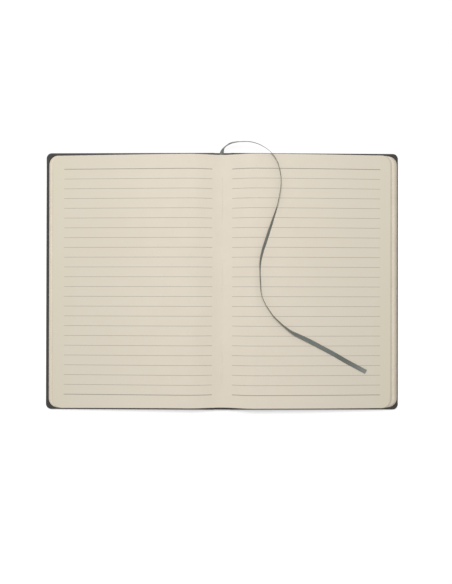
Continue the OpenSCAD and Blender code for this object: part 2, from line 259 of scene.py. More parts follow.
class Patch:
    # Collects the vertices and faces of one mesh
    def __init__(self):
        self.vertices = []
        self.faces = []
        self.finish = []

    def row(self, points):
        first = len(self.vertices)
        self.vertices.extend(points)
        return list(range(first, first + len(points)))

    def strip(self, a, b, finish=0, closed=False):
        count = len(a)
        for k in range(count if closed else count - 1):
            n = (k + 1) % count
            self.faces.append((a[k], a[n], b[n], b[k]))
            self.finish.append(finish)

    def loft(self, rows, finish=0, closed=False):
        made = [self.row(points) for points in rows]
        for a, b in zip(made, made[1:]):
            self.strip(a, b, finish, closed)
        return made


arcSteps = 16    # faces round a sheet's corner


# Plan outline of a sheet with two rounded outer corners: head edge, corner, fore edge, corner,
# tail edge. Every inset of it has the same count of points, so insets can be lofted.
def planOutline(start, reach, height, radius, inset, xs, ys):
    held = max(inset, radius)
    spread = max(0.0, radius - inset)
    head = [(min(mix(start, reach - radius, t), reach - held), height / 2 - inset) for t in xs]
    for k in range(1, arcSteps + 1):
        turn = math.radians(90 * k / arcSteps)
        head.append((reach - held + spread * math.sin(turn), height / 2 - held + spread * math.cos(turn)))
    fore = [(reach - inset, (height / 2 - held) * v) for v in ys[1:-1]]
    tail = [(x, -y) for x, y in reversed(head)]
    return head + fore + tail


def planGrid(start, reach, height, radius, inset, xs, ys):
    # Columns of points over the whole outline; its border is planOutline's
    outline = planOutline(start, reach, height, radius, inset, xs, ys)
    upper = outline[:len(xs) + arcSteps]
    return [[(x, y * v) for v in ys] for x, y in upper]


print("stage: camera and floor")
camera = {
    "place": (2.2, -11.97, 600.0),    # almost straight above, a little to the tail
    "turn": (0.300, -0.097, 0.106),   # degrees
    "focus": 725.12,                  # in pixels of a picture 584 high
    "film": 36.0,
    "pictureHeight": 584.0,
}
eye = bpy.data.cameras.new("eye")
eye.sensor_fit = "VERTICAL"
eye.sensor_height = camera["film"]
eye.lens = camera["focus"] * camera["film"] / camera["pictureHeight"]
eye.clip_start = 0.01
eyeObject = bpy.data.objects.new("eye", eye)
eyeObject.location = Vector(camera["place"]) * mm
eyeObject.rotation_euler = [math.radians(turn) for turn in camera["turn"]]
bpy.context.scene.collection.objects.link(eyeObject)
bpy.context.scene.camera = eyeObject
bpy.context.scene.view_settings.view_transform = "Standard"

studio = {
    "worldLevel": 0.35,
    "keyPower": 6.05,
    "keyPlace": (-0.1, 0.25, 0.9),
    "keySize": 0.4,
    "floorSize": 6.0,
    "floorColour": (0.86, 0.86, 0.86),
    "floorLift": 0.36,     # white added in the picture alone, which doesn't light the book
    "headLift": 0.93,      # the same past the head of the book, where the shadows are paler
    "headShare": 0.10,     # share of its light that the floor shows there
    "headFrom": 0.085,     # metres towards the head: where that starts and is full
    "headTo": 0.108,
    "plainFrom": 0.28,     # metres outwards: from here to there the floor turns plain white
    "plainTo": 0.9,
}
world = bpy.data.worlds.new("studio")
bpy.context.scene.world = world
world.use_nodes = True
sky = Network(world.node_tree)
backdrop = sky.tree.nodes["Background"]
backdrop.inputs["Color"].default_value = (1.0, 1.0, 1.0, 1.0)
# The backdrop is plain white to the camera
skyLevel = sky.node("ShaderNodeMapRange", {}, {0: sky.shown(), 3: studio["worldLevel"], 4: 1.0})
sky.tree.links.new(skyLevel.socket, backdrop.inputs["Strength"])

key = bpy.data.lights.new("softKey", "AREA")
key.shape = "DISK"
key.size = studio["keySize"]
key.energy = studio["keyPower"]
keyObject = bpy.data.objects.new("softKey", key)
keyObject.location = studio["keyPlace"]
keyObject.rotation_euler = (-keyObject.location).to_track_quat("-Z", "Y").to_euler()
keyObject.visible_camera = False
bpy.context.scene.collection.objects.link(keyObject)

half = studio["floorSize"] / 2
floorMesh = bpy.data.meshes.new("floor")
floorMesh.from_pydata([(-half, -half, 0), (half, -half, 0), (half, half, 0), (-half, half, 0)],
                      [], [(0, 1, 2, 3)])
floor = bpy.data.objects.new("floor", floorMesh)
bpy.context.scene.collection.objects.link(floor)
floorPaint = Finish("floorPaint", studio["floorColour"], 0.9, Specular_IOR_Level=0.0)
seen = floorPaint.shown()
floorPaint.shader.inputs["Emission Strength"].default_value = 1.0
away = floorPaint.node("ShaderNodeVectorMath", {"operation": "LENGTH"}, {0: floorPaint.place()}, "Value")
headward = floorPaint.axes()[1].above(studio["headFrom"], studio["headTo"])
outward = away.above(studio["plainFrom"], studio["plainTo"])
lift = floorPaint.blend(headward, (studio["floorLift"],) * 3 + (1,), (studio["headLift"],) * 3 + (1,))
lift = floorPaint.blend(outward, lift, (1, 1, 1, 1))
floorPaint.feed(Base_Color=floorPaint.shade(headward * seen, 1.0, studio["headShare"]),
                Emission_Color=floorPaint.blend(seen, (0, 0, 0, 1), lift))
floorMesh.materials.append(floorPaint.material)


print("stage: finishes")
paper = {
    "page": (0.735, 0.668, 0.560),
    "endpaper": (0.72, 0.655, 0.55),
    "paintedShade": (0.955, 0.96, 0.955),    # share of the page's colour left towards the fore edge: painted shade
    "paintedShadeFrom": 0.035,               # metres from the gutter
    "paintedShadeTo": 0.115,
    "rim": (0.93, 0.955, 0.89),      # and beside it: a yellower edge tone, darker too as painted shade
    "rimFrom": 0.120,
    "rimTo": 0.142,
    "stray": (0.05, 0.03),           # waves of those borders: width and reach, metres
    "cloud": 0.014,                  # widths of its blotches, fibres and tooth, metres
    "fibre": 0.0006,
    "tooth": 0.0002,
}


def paperFinish(name, colour, mottle, tonedAndShaded):
    # Paper that is a little darker towards the fore edges as painted shade, and then yellower where it is
    # toned, darker there too as painted shade
    made = Finish(name, colour, 0.88, Specular_IOR_Level=0.25)
    cloud = made.noise(paper["cloud"], 4.0)
    fibre = made.noise(paper["fibre"], 3.0, made.stretched((1.0, 0.35, 1.0)))
    tone = cloud * 0.6 + fibre * 0.4
    width, reach = paper["stray"]
    outward = abs(made.axes()[0]) + (made.noise(width, 2.0) - 0.5) * reach
    paintedShade = tuple(c * t for c, t in zip(colour, paper["paintedShade"])) + (1.0,)
    rim = tuple(c * t for c, t in zip(colour, paper["rim"])) + (1.0,)
    sheet = made.shade(tone.above(0.25, 0.75), 1 - mottle, 1 + mottle)
    # Painted shade towards the fore edges, then a rim of yellow edge tone with more painted shade
    sheet = made.blend(outward.above(paper["paintedShadeFrom"], paper["paintedShadeTo"]) * tonedAndShaded, sheet, paintedShade)
    sheet = made.blend(outward.above(paper["rimFrom"], paper["rimTo"]) * tonedAndShaded * 0.8, sheet, rim)
    made.feed(Base_Color=sheet,
              Normal=made.bump(fibre + made.noise(paper["tooth"], 2.0) * 0.5, 0.00002, 0.35),
              Roughness=tone * 0.12 + 0.82)
    return made


pagePaper = paperFinish("pagePaper", paper["page"], 0.02, 1.0)
endPaper = paperFinish("endPaper", paper["endpaper"], 0.03, 0.0)

cutEdges = {
    "colour": (0.69, 0.62, 0.51),
    # Some sections' cut edges are darker as painted shade, and some lighter as painted light, for the
    # steps of the fanned sections
    "levels": (("leafEdges", 1.0), ("leafEdgesPaintedShade", 0.86), ("leafEdgesPaintedLight", 1.13)),
    "line": 0.00025,    # widths of its lines and blotches, metres
    "cloud": 0.02,
}


def edgeFinish(name, level):
    # Cut edges of the leaves: a touch warmer, with fine lines along them
    made = Finish(name, tuple(c * level for c in cutEdges["colour"]), 0.9, Specular_IOR_Level=0.2)
    lines = made.noise(cutEdges["line"], 2.0, made.stretched((0.15, 0.15, 3.0)))
    cloud = made.noise(cutEdges["cloud"])
    made.feed(Base_Color=made.shade((lines * 0.7 + cloud * 0.3).above(0.3, 0.7), 0.9, 1.05),
              Normal=made.bump(lines, 0.00003, 0.5))
    return made


leafEdges = [edgeFinish(name, level) for name, level in cutEdges["levels"]]

ink = {
    "rule": (0.415, 0.38, 0.315),
    "endRule": (0.31, 0.285, 0.24),    # the first and last lines
    "grain": 0.0003,
}


def inkFinish(name, colour):
    made = Finish(name, colour, 0.85, Specular_IOR_Level=0.25)
    grain = made.noise(ink["grain"])
    made.feed(Base_Color=made.shade(grain.above(0.3, 0.7), 0.94, 1.08))
    return made


ruleInk = inkFinish("ruleInk", ink["rule"])
endRuleInk = inkFinish("endRuleInk", ink["endRule"])

cloth = {
    "colour": (0.036, 0.034, 0.031),
    "wornAndLit": (0.12, 0.115, 0.105, 1.0),
    "pebbles": 2300.0,        # to the metre
    "crease": 0.0008,         # widths of its creases and blotches, metres
    "cloud": 0.03,
    "foreWearAndHighlight": (1.6, 0.1),    # from the fore edge, mm: where the wear and painted highlight start and are full
    "endWearAndHighlight": (2.2, 0.6),     # the same from the head and tail
    "spared": (11.0, 5.0),    # from the fore edge: where the wear and painted highlight of head and tail fade out
}


def coverFinish():
    # Soft-touch covering with a fine pebbled grain, lighter along its edges: a little wear, and a painted
    # highlight on its rims
    made = Finish("caseCovering", cloth["colour"], 0.6, Specular_IOR_Level=0.3,
                  Sheen_Weight=0.06, Sheen_Roughness=0.5)
    pebble = made.node("ShaderNodeTexVoronoi", {"feature": "SMOOTH_F1"},
                       {"Vector": made.place(), "Scale": cloth["pebbles"], "Smoothness": 0.6})
    crease = made.noise(cloth["crease"], 4.0)
    cloud = made.noise(cloth["cloud"], 4.0)
    height = pebble * 0.7 + crease * 0.6
    x, y, _ = made.axes()
    # Lighter along the fore edge, head and tail: wear, and a painted highlight where the rims catch the
    # light
    foreWearAndHighlight = abs(x).above(*((coverReach - d) * mm for d in cloth["foreWearAndHighlight"]))
    endWearAndHighlight = abs(y).above(*((caseHeight / 2 - d) * mm for d in cloth["endWearAndHighlight"]))
    endWearAndHighlight = endWearAndHighlight * (1.0 - abs(x).above(*((coverReach - d) * mm for d in cloth["spared"])))
    wearAndHighlight = foreWearAndHighlight.maths("MAXIMUM", endWearAndHighlight) * crease.above(0.35, 0.7)
    tone = made.shade(cloud * 0.5 + pebble * 0.5, 0.88, 1.15)
    made.feed(Base_Color=made.blend(wearAndHighlight * 0.3, tone, cloth["wornAndLit"]),
              Roughness=cloud * 0.18 + 0.5,
              Normal=made.bump(height, 0.00005, 0.6))
    return made


caseCovering = coverFinish()

# Colours and grain, in metres, of the parts inside the case
inside = {
    "board": (0.27, 0.26, 0.235),
    "fleck": 0.0009,
    "pulp": 0.0035,
    "kraft": (0.42, 0.27, 0.145),
    "kraftFibre": 0.0012,
    "gauze": (0.80, 0.79, 0.73),
    "gauzePitch": 0.0008,
    "cotton": (0.78, 0.73, 0.63),
    "cottonTwist": 5200.0,    # radians to the metre
}


def boardFinish():
    made = Finish("greyBoard", inside["board"], 0.92, Specular_IOR_Level=0.15)
    fleck = made.noise(inside["fleck"], 4.0)
    pulp = made.noise(inside["pulp"], 5.0)
    made.feed(Base_Color=made.shade(fleck.above(0.4, 0.62) * 0.6 + pulp * 0.4, 0.75, 1.3),
              Normal=made.bump(fleck, 0.00008, 0.6))
    return made


greyBoard = boardFinish()


def kraftFinish():
    made = Finish("liningKraft", inside["kraft"], 0.85)
    fibre = made.noise(inside["kraftFibre"], 5.0, made.stretched((1.0, 0.2, 1.0)))
    made.feed(Base_Color=made.shade(fibre.above(0.3, 0.7), 0.85, 1.15),
              Normal=made.bump(fibre, 0.00004, 0.5))
    return made


liningKraft = kraftFinish()


def gauzeFinish():
    # Open weave, clear between its threads
    made = Finish("gauzeCotton", inside["gauze"], 0.95, Sheen_Weight=0.2)
    x, y, _ = made.axes()
    turns = 2 * math.pi / inside["gauzePitch"]
    warp = (x * turns).wave()
    weft = (y * turns).wave()
    over = warp.maths("MAXIMUM", weft)
    made.feed(Base_Color=made.shade(over.above(-0.2, 1.0), 0.7, 1.1),
              Alpha=over.above(0.05, 0.25),
              Normal=made.bump(over, 0.0001, 0.8))
    return made


gauzeCotton = gauzeFinish()


def threadFinish():
    made = Finish("threadCotton", inside["cotton"], 0.8, Sheen_Weight=0.2)
    x, y, z = (axis * inside["cottonTwist"] for axis in made.axes())
    twist = (y + x + z).wave()
    made.feed(Base_Color=made.shade(twist.above(-0.8, 0.8), 0.82, 1.1),
              Normal=made.bump(twist, 0.00005, 0.8))
    return made


threadCotton = threadFinish()

satin = {
    "colour": (0.166, 0.180, 0.163),
    "warps": 26.0,          # threads across the width
    "weftPitch": 0.16,      # mm between two picks
    "weftSlant": 9.0,       # radians of its wave that a pick is out by across the width
    "sheenStreaks": (22.0, 0.12, 1.0),    # painted sheen streaks: how many to the width and to the mm along it
    "clouds": (1.2, 0.06, 1.0),
    "teal": (0.110, 0.152, 0.150, 1.0),
    "olive": (0.165, 0.155, 0.115, 1.0),
    "selvedge": (0.150, 0.132, 0.094, 1.0),
    "litStretch": (0.26, 0.268, 0.24, 1.0),        # painted light: a paler stretch where it stands over the page, turned aside from the light
    "litStretchAt": (105.0, 122.0, 140.0, 162.0),  # mm along it: fades in and out
    "shadedStretch": (0.105, 0.112, 0.085, 1.0),    # painted shade: a darker stretch near its end
    "shadedStretchAt": (254.0, 263.0, 265.0, 275.0),
    # painted light: a paler stretch at its end
    "litEnd": (0.30, 0.31, 0.29, 1.0),
    "litEndAt": (274.0, 287.0),
}


def satinFinish():
    # Woven on the ribbon's own map: U across it from 0 to 1, V along it in millimetres
    made = Finish("ribbonSatin", satin["colour"], 0.42, Specular_IOR_Level=0.25,
                  Sheen_Weight=0.06, Sheen_Roughness=0.4)
    u, v, _ = made.axes("UV")
    warp = (u * (2 * math.pi * satin["warps"])).wave()
    weft = (v * (2 * math.pi / satin["weftPitch"]) + u * satin["weftSlant"]).wave()
    selvedge = abs(u - 0.5).above(0.42, 0.47)
    sheenStreak = made.noise(1.0, 4.0, made.stretched(satin["sheenStreaks"], "UV"))
    cloud = made.noise(1.0, 2.0, made.stretched(satin["clouds"], "UV"))
    # Its streaks are painted sheen
    tone = made.shade(sheenStreak * 0.6 + warp * 0.12 + weft * 0.08 + 0.2, 0.72, 1.35)
    colour = made.blend(cloud.above(0.45, 0.7) * 0.45, tone, satin["teal"])
    colour = made.blend((1.0 - cloud).above(0.5, 0.72) * 0.4, colour, satin["olive"])
    colour = made.blend(selvedge * 0.85, colour, satin["selvedge"])
    # Stretches of painted light and painted shade along it
    for shade, share in (("litStretch", 0.32), ("shadedStretch", 0.45)):
        a, b, c, d = satin[shade + "At"]
        colour = made.blend(v.above(a, b) * (1.0 - v.above(c, d)) * share, colour, satin[shade])
    made.feed(Base_Color=made.blend(v.above(*satin["litEndAt"]) * 0.6, colour, satin["litEnd"]),
              Roughness=sheenStreak * 0.2 + 0.34,
              Normal=made.bump(warp * 0.6 + weft * 0.5 + selvedge * 1.5, 0.00004, 0.7))
    return made


ribbonSatin = satinFinish()


print("stage: ribbon")
# Its route repeats the frame's: x, y, z in millimetres and the roll of its width in degrees
ribbon = {
    "width": 3.5,
    "thick": 0.26,
    "route": [
        (-0.5, 94, 5.95, 0), (-0.5, 99, 5.95, 0), (-0.5, 103.5, 5.95, 0),
        (0, 106.7, 6.4, 42), (2.0, 109.7, 7.2, 67), (6.0, 112.3, 8.4, 61),
        (10.7, 113.3, 9.8, 64), (16.2, 113.4, 11.4, 70), (22.2, 113, 12.9, 70),
        (27.3, 111.6, 13.9, 71), (32, 109.4, 14.7, 73), (36.9, 106.1, 15.3, 77),
        (40.7, 102.5, 15.4, 80), (43.4, 98.6, 15.3, 81), (45.4, 94, 15.2, 81),
        (47, 86.5, 15.1, 82), (47.4, 78.8, 15.1, 85), (46.2, 70, 15.1, 87),
        (44.4, 60.9, 15.15, 80), (40.9, 49.5, 15.1, 62), (38, 40.8, 15.05, 54),
        (35.2, 32.1, 15.1, 51), (32.7, 24.3, 15.25, 55), (31, 16.3, 15.45, 65),
        (30.6, 7.9, 15.5, 76), (31, -1.1, 15.5, 76), (31.7, -10.5, 15.5, 83),
        (34.3, -17.3, 15.5, 85), (37.6, -22.8, 15.4, 83), (41.6, -28.4, 15.3, 80),
        (46.6, -33.3, 15.1, 77), (51.6, -37.7, 14.8, 69),
        (56.9, -41.5, 14.38, 55), (63.5, -44.9, 13.62, 33),
        (72.3, -49.3, 12.7, 12), (81.8, -54.4, 11.8, 5), (90.9, -59.2, 11.15, 3),
        (99.4, -64.2, 10.55, 0), (108.5, -69.1, 9.9, 0), (117.2, -73.7, 9.3, 0)],
    "steps": 8,            # rings between two points of the route
    "across": 10,          # faces across the width
    "bow": 0.10,           # how far its middle stands off its edges, mm
    "ripple": 0.03,        # how far its edges wave, mm
    "waves": (0.9, 0.23),  # and how quickly: two waves, in radians to the mm
    "rim": 0.6,            # share of its thickness at its outermost threads
}


def routePoint(k):
    return Vector(ribbon["route"][int(clamp(k, 0, len(ribbon["route"]) - 1))])


def alongRoute(k, t):
    # Smooth curve through the route's points; t goes from 0 at point k to 1 at the next
    a, b, c, d = (routePoint(k + n) for n in (-1, 0, 1, 2))
    return (b * 2 + (c - a) * t + (a * 2 - b * 5 + c * 4 - d) * t * t
            + (b * 3 - a - c * 3 + d) * t * t * t) / 2


def ribbonRings():
    line = []
    for k in range(len(ribbon["route"]) - 1):
        line += [alongRoute(k, s / ribbon["steps"]) for s in range(ribbon["steps"])]
    line.append(routePoint(len(ribbon["route"])))
    return line


def makeRibbon():
    line = ribbonRings()
    patch = Patch()
    maps = []
    travel = 0.0
    rows = []
    count = ribbon["across"]
    quick, slow = ribbon["waves"]
    for k, p in enumerate(line):
        ahead = (line[min(k + 1, len(line) - 1)] - line[max(k - 1, 0)]).to_3d().normalized()
        if k:
            travel += (p.to_3d() - line[k - 1].to_3d()).length
        side = ahead.cross(Vector((0, 0, 1))).normalized()
        up = side.cross(ahead)
        roll = math.radians(p[3])
        across = side * math.cos(roll) + up * math.sin(roll)
        over = across.cross(ahead)
        ring = []
        ringMap = []
        ripple = ribbon["ripple"] * math.sin(travel * quick) * math.sin(travel * slow)
        for layer in (1, -1):
            for n in range(count + 1):
                w = (n / count * 2 - 1) * layer
                thick = ribbon["thick"] / 2 * (ribbon["rim"] if n in (0, count) else 1.0)
                off = thick * layer + ribbon["bow"] * (1 - w * w) + ripple * w
                ring.append(p.to_3d() + across * (w * ribbon["width"] / 2) + over * off)
                ringMap.append(((w + 1) / 2, travel))
        rows.append(patch.row(ring))
        maps.append(ringMap)
    for a, b in zip(rows, rows[1:]):
        patch.strip(a, b, closed=True)
    for end in (rows[0], rows[-1]):
        for n in range(count):
            patch.faces.append((end[n], end[n + 1], end[2 * count - n], end[2 * count + 1 - n]))
            patch.finish.append(0)
    piece = makePiece("ribbonMarker", patch, [ribbonSatin], "book_block",
                      "ribbon_marker", 50, weld=False)
    flat = [pair for ringMap in maps for pair in ringMap]
    layer = piece.data.uv_layers.new(name="ribbonMap")
    for loop in piece.data.loops:
        layer.data[loop.index].uv = flat[loop.vertex_index]
    tuple(line[2 * ribbon["steps"]].to_3d() * mm)
    [tuple(p.to_3d() * mm) for p in line]
    print("ribbon length mm:", round(travel, 1))


makeRibbon()


print("stage: leaves")
leaves = {
    "columns": 34,
    "rows": 22,
    "ragged": 0.10,      # how far single leaves stray from the cut edge, mm
    "gapDepth": 0.22,    # how far the gaps between leaves go in, mm
    "bodyShare": 0.88,   # share of a leaf's thickness that is paper
    "section": 8,        # leaves of one sewn section; the open one is halved
    "round": 0.12,       # how far a section's middle stands out of its ends, mm
    "settle": 9.0,       # from its fold a leaf comes to its place in the stack within this, mm
    "gutterBend": 1.6,   # how sharply the page rises from the gutter
    "foldSpread": 6,     # how closely the folds keep to the back's level, but for the upper ones
    "skewFrom": 45.0,    # where the cut starts to run off square, and over what width, mm
    "skewOver": 95.0,
    "flange": 4.0,       # how far past the board's edge the leaves lie flat on the cover, mm
}
# drift is how far each section slid along the others, lowest first, and edge which of the edge finishes
# it has, one of plain, painted shade and painted light; skew is how far the cut's outer end lies towards
# the tail
frontSide = {"sign": -1, "stack": frontStack, "leaves": book["frontLeaves"], "skew": 0.7,
             "hump": book["frontHump"], "bow": book["frontBow"],
             "drift": (0.0, 0.1, 0.1, -0.1, 0.0), "edge": (1, 1, 3, 1, 1)}
backSide = {"sign": 1, "stack": backStack, "leaves": book["backLeaves"], "skew": 0.25,
            "hump": book["backHump"], "bow": book["backBow"],
            "drift": (0.0, 0.0, 0.0, -0.1, -0.2, -0.5, -0.7), "edge": (2, 2, 1, 3, 3, 2, 2)}
humpEnd = book["pageWidth"] - book["flatMargin"]
flangeX = boardStart + leaves["flange"]


def planeHeight(x, t):
    return (coverReach - x) * math.tan(tilt) + t / math.cos(tilt)


def humpHeight(side, u):
    fall = clamp((u - book["crest"]) / (humpEnd - book["crest"])) ** side["bow"]
    return planeHeight(u, leafBase + side["stack"]) + side["hump"] * (1 - fall)


def upperHeight(side, u):
    if u >= book["crest"]:
        return humpHeight(side, u)
    rise = math.sin(math.radians(90 * clamp(u / book["crest"]))) ** leaves["gutterBend"]
    return mix(gutterLevel, humpHeight(side, book["crest"]), rise)


def lowerHeight(side, u):
    if u >= flangeX:
        return planeHeight(u, leafBase)
    t = clamp((u - side["stack"]) / (flangeX - side["stack"]))
    return mix(backLevel, planeHeight(flangeX, leafBase), t)


def leafStart(side, f):
    return (1 - f) * side["stack"]


def leafHeight(side, u, f):
    # f is the leaf's place in its half of the book, from 0 for the lowest to 1 for the upper face
    stacked = mix(lowerHeight(side, u), upperHeight(side, u), f)
    root = backLevel + book["foldDepth"] * f ** leaves["foldSpread"]
    settled = smooth((u - leafStart(side, f)) / leaves["settle"]) ** 0.5
    return mix(root, stacked, settled if f < 1 else 1)


def upperReach(side):
    # The upper leaf is as long as the others, measured along its curve
    steps = 200
    length = 0.0
    for k in range(steps):
        a = book["pageWidth"] * k / steps
        b = book["pageWidth"] * (k + 1) / steps
        length += math.hypot(b - a, upperHeight(side, b) - upperHeight(side, a))
    return 2 * book["pageWidth"] - length


def leafReach(side, f):
    return mix(side["stack"] + book["pageWidth"], upperReach(side), f)


# Columns close together on the bend beside the gutter
leafColumns = [(k / leaves["columns"]) ** 1.5 for k in range(leaves["columns"] + 1)]
leafRows = [1 - 2 * k / leaves["rows"] for k in range(leaves["rows"] + 1)]


def leafSlide(side, k):
    # How far leaf k, counted from the lowest, stands out of the even fan
    section, place = divmod(min(k, side["leaves"] - 1), leaves["section"])
    middle = (leaves["section"] - 1) / 2
    rise = 1 - ((place - middle) / (middle + 0.5)) ** 2
    return side["drift"][section] + leaves["round"] * rise


def pageReach(side):
    # How far the upper leaf, the page in sight, comes to lie
    return upperReach(side) + leafSlide(side, side["leaves"])


def cutSkew(side, x):
    return side["skew"] * clamp((x - leaves["skewFrom"]) / leaves["skewOver"])


def leafRing(side, f, extra, inset, lift=0.0):
    # Outline of a leaf laid on its curve, lift over it but never past the next leaf
    plan = planOutline(leafStart(side, f), leafReach(side, f) + extra, book["pageHeight"],
                       book["leafCorner"], inset, leafColumns, leafRows)
    above = min(1.0, f + 1 / side["leaves"])
    ring = []
    for x, y in plan:
        z = leafHeight(side, x, f)
        if lift:
            z = min(z + lift, leafHeight(side, x, above))
        ring.append((side["sign"] * x, y - cutSkew(side, x), z))
    return ring


def makeLeaves():
    patch = Patch()
    for side in (frontSide, backSide):
        count = side["leaves"]
        made = []
        for k in range(count):
            f = k / count
            rings = []
            extra = leaves["ragged"] * random.uniform(-1, 1) + leafSlide(side, k)
            if k == 0:
                extra = 0.0
            rings.append(leafRing(side, f, extra, 0))
            if k < count - 1:
                body = book["leaf"] * leaves["bodyShare"]
                rings.append(leafRing(side, f, extra, 0, body))
                rings.append(leafRing(side, f, extra, leaves["gapDepth"], body))
                above = leafSlide(side, k + 1)
                rings.append(leafRing(side, f + 1 / count, min(extra, above), leaves["gapDepth"]))
            else:
                rings.append(leafRing(side, 1.0, leafSlide(side, count), 0))
            made += [(patch.row(ring), side["edge"][k // leaves["section"]]) for ring in rings]
        for (a, edge), (b, _) in zip(made, made[1:]):
            patch.strip(a, b, edge, closed=True)
        for f in (0.0, 1.0):
            reach = pageReach(side) if f else leafReach(side, f)
            grid = planGrid(leafStart(side, f), reach, book["pageHeight"], book["leafCorner"], 0,
                            leafColumns, leafRows)
            patch.loft([[(side["sign"] * x, y - cutSkew(side, x), leafHeight(side, x, f))
                         for x, y in column] for column in grid])
    makePiece("leaves", patch, [pagePaper, *leafEdges], "book_block", "text_block", 30)


makeLeaves()


print("stage: ruling")
ruling = {
    "count": 24,
    "pitch": 8.0,
    "width": 0.35,
    "endWidth": 0.5,     # of the first and last lines
    "from": 8.1,         # from the gutter
    "margin": 9.0,       # to the fore edge
    "drop": 0.6,         # below the middle of the leaf
    "ink": 0.02,         # thickness
    "clear": 0.05,       # the least from a line's end to its next column of points
}


def sheetHeight(side, grid, x):
    # Height of the page as meshed: straight between its columns
    for a, b in zip(grid, grid[1:]):
        if x <= b:
            return mix(upperHeight(side, a), upperHeight(side, b), (x - a) / (b - a))
    return upperHeight(side, x)


def makeRuling():
    patch = Patch()
    for side in (frontSide, backSide):
        first = ruling["from"]
        last = upperReach(side) - ruling["margin"]
        grid = [mix(0, pageReach(side) - book["leafCorner"], t) for t in leafColumns]
        clear = ruling["clear"]
        xs = [first] + [x for x in grid if first + clear < x < last - clear] + [last]
        for n in range(ruling["count"]):
            outer = n in (0, ruling["count"] - 1)
            middle = (n - (ruling["count"] - 1) / 2) * ruling["pitch"] - ruling["drop"]
            reach = (ruling["endWidth"] if outer else ruling["width"]) / 2
            rows = []
            for y, z in ((-reach, 0), (-reach, ruling["ink"]), (reach, ruling["ink"]), (reach, 0)):
                rows.append([(side["sign"] * x, middle + y, sheetHeight(side, grid, x) + z) for x in xs])
            patch.loft(rows, 1 if outer else 0)
    makePiece("ruledLines", patch, [ruleInk, endRuleInk], "book_block", "ruled_lines", 30)


makeRuling()


print("stage: sewing thread")
sewing = {
    "margin": 18.0,     # from the last hole to the head or tail
    "stitches": 3,
    "plies": 3,
    "turn": 1.1,        # mm for one turn of the twist
    "core": 0.86,       # shares of the radius: the mean, and how far the plies stand in and out
    "lobe": 0.12,
    "segment": 0.5,     # mm between two rings
    "sides": 12,
}


def makeThread():
    patch = Patch()
    holes = 2 * sewing["stitches"]
    pitch = (book["pageHeight"] - 2 * sewing["margin"]) / (holes - 1)
    ys = [k * pitch + sewing["margin"] - book["pageHeight"] / 2 for k in range(holes)]
    reach = book["thread"] / 2 + book["threadGap"]
    upper = gutterLevel + reach
    lower = backLevel - reach
    path = []
    for k, y in enumerate(ys):
        levels = (lower, upper) if k % 2 == 0 else (upper, lower)
        path += [Vector((0, y, levels[0])), Vector((0, y, levels[1]))]
    line = []
    for a, b in zip(path, path[1:]):
        steps = max(2, int((b - a).length / sewing["segment"]))
        line += [a.lerp(b, s / steps) for s in range(steps)]
    line.append(path[-1])
    radius = book["thread"] / 2
    side = Vector((1, 0, 0))
    travel = 0.0
    rows = []
    for k, p in enumerate(line):
        ahead = (line[min(k + 1, len(line) - 1)] - line[max(k - 1, 0)]).normalized()
        if k:
            travel += (p - line[k - 1]).length
        up = side.cross(ahead).normalized()
        ring = []
        for n in range(sewing["sides"]):
            turn = 2 * math.pi * n / sewing["sides"]
            wound = turn + travel * 2 * math.pi / sewing["turn"] / sewing["plies"]
            lobe = radius * (sewing["core"] + sewing["lobe"] * math.cos(sewing["plies"] * wound))
            ring.append(p + side * lobe * math.cos(turn) + up * lobe * math.sin(turn))
        rows.append(ring)
    made = patch.loft(rows, closed=True)
    patch.faces += [tuple(made[0]), tuple(made[-1])]
    patch.finish += [0, 0]
    makePiece("sewingThread", patch, [threadCotton], "book_block", "sewing_thread", 50)


makeThread()


print("stage: case")
case = {
    "columns": 26,        # even ones over the board
    "evenFrom": 0.06,     # share of the cover's width where they start
    "fineColumns": 13,    # closer ones over the groove
    "fineStep": 0.5,      # from one of those to the next, mm
    "rows": 30,
    "edgeRadius": 0.5,
    "arc": 4,             # faces of that rounding
    "turnRings": (3.2, 9.0),    # insets of the rings on the flat of the turn-ins
    "seamX": 5.6,         # where the spine's covering meets the covers', on the flat of the spine
    "wall": 1.2,          # width of the groove's slopes outside
    "turnWall": 0.9,      # and on the turn-ins
    "spineColumns": 8,
    "bendHalf": 1.9,      # half the width of the soft fold on the hinge
    "pleats": 4,          # gathers in the turn-in round each outer corner
    "pleat": 0.12,        # their depth, mm
    "pleatFade": 0.4,     # from the edge inwards, mm: where they reach it
}


def caseBase(x):
    return book["lift"] if x <= spineHalf else (coverReach - x) * math.tan(tilt)


def grooveRise(x):
    walls = smooth((x - spineHalf) / case["wall"]) * smooth((boardStart - x) / case["wall"])
    return book["grooveDepth"] * walls


def turnHeight(x):
    # Top of the turn-ins over the outer face: spine, groove, board
    spine = 2 * book["skin"] + book["strip"]
    grooved = book["grooveDepth"] + 2 * book["skin"]
    wall = case["turnWall"]
    if x < hingeX:
        return mix(spine, grooved, smooth((x - spineHalf + wall / 3) / wall))
    return mix(grooved, turnTop, smooth((x - boardStart + wall) / wall))


def caseProfile():
    # Pairs of inset and level. Those of under start at the outer face and go round the edge; those
    # of over and flat, whose levels count from the top, finish the edge and run along the turn-in.
    r = case["edgeRadius"]
    turns = [math.radians(90 * k / case["arc"]) for k in range(case["arc"] + 1)]
    under = [(r * (1 - math.sin(turn)), r * (1 - math.cos(turn))) for turn in turns]
    over = [(inset, -level) for inset, level in reversed(under)]
    flat = [(inset, 0.0) for inset in (*case["turnRings"], book["turnIn"])]
    return under, over, flat + [(book["turnIn"], -book["skin"])]


